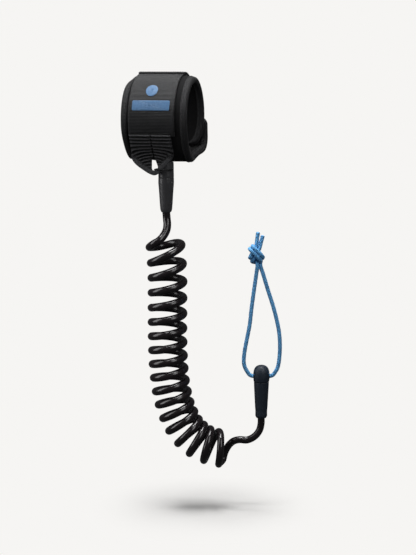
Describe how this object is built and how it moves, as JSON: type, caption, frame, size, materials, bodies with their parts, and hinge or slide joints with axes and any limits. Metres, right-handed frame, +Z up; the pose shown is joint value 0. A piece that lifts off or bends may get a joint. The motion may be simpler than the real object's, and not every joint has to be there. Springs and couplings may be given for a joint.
{
  "type": "coiled bodyboard leash",
  "caption": "Bicep leash: a padded wrap cuff with a hook-and-loop strap, a curly cord between two swivel mouldings, and a knotted string loop for the board.",
  "frame": {"origin": "centre of the cuff's arm opening, where an arm holds the leash up", "axes": "+X along the arm, towards the cuff's right side seen from the strap; -Y is the side with the strap; +Z is up, with the cord hanging below"},
  "size_m": [0.1522, 0.0866, 0.399],
  "materials": {
    "neoprene": "matte closed-cell foam",
    "jersey": "matte knitted nylon",
    "binding": "satin edge tape",
    "webbing": "satin woven webbing",
    "hook_and_loop": "matte hook and loop",
    "print": "matte printed ink",
    "nylon": "satin moulded nylon",
    "navy_nylon": "satin moulded nylon",
    "urethane": "glossy extruded polyurethane",
    "braid": "matte braided polyester",
    "steel": "turned stainless steel",
    "brass": "pressed brass"
  },
  "bodies": {
    "cuff": {"neoprene_band": "neoprene", "band_outer_face": "jersey", "band_lining": "jersey", "edge_binding_left": "binding", "edge_binding_right": "binding", "front_strap": "webbing", "back_strap": "webbing", "loop_patch": "hook_and_loop", "print_bar": "print", "print_dot": "print", "rib_webbing_left": "webbing", "rib_webbing_right": "webbing"},
    "flap": {"closure_flap": "webbing", "flap_end_tape": "binding", "hook_patch": "hook_and_loop"},
    "sling": {"webbing_sling": "webbing", "sling_link": "nylon", "cuff_swivel_head": "nylon", "cuff_swivel_pin": "steel"},
    "cord": {"cuff_moulding": "nylon", "cuff_swivel_washer": "steel", "cuff_cord_crimp": "brass", "cuff_cord_plug": "urethane", "cord_lead_in": "urethane", "curly_cord_coil": "urethane", "cord_lead_out": "urethane", "board_sleeve": "navy_nylon", "board_swivel_washer": "steel", "board_cord_crimp": "brass", "board_cord_plug": "urethane"},
    "board_end": {"board_head": "navy_nylon", "board_swivel_pin": "steel", "eyelet_left": "nylon", "eyelet_right": "nylon"},
    "string": {"string_loop": "braid", "string_knot": "braid", "string_tail_long": "braid", "string_tail_short": "braid"}
  },
  "joints": [
    {"name": "flap_hinge", "type": "hinge", "parent": "cuff", "child": "flap", "pos_m": [0, 0.0297, 0.0304], "axis": [-1, 0, 0], "range_deg": [0, 110]},
    {"name": "sling_hinge", "type": "hinge", "parent": "cuff", "child": "sling", "pos_m": [-0.0036, -0.0299, -0.033], "axis": [-1, 0, 0], "range_deg": [0, 75]},
    {"name": "cuff_swivel", "type": "hinge", "parent": "sling", "child": "cord", "pos_m": [0.0069, -0.02, -0.0572], "axis": [0, 0, 1], "continuous": true},
    {"name": "board_swivel", "type": "hinge", "parent": "cord", "child": "board_end", "pos_m": [0.09905, 0.00469, -0.2634], "axis": [0, 0, 1], "continuous": true},
    {"name": "string_pivot", "type": "hinge", "parent": "board_end", "child": "string", "pos_m": [0.09905, 0.00469, -0.2573], "axis": [0.9659, 0.2588, 0], "range_deg": [-25, 25]}
  ]
}
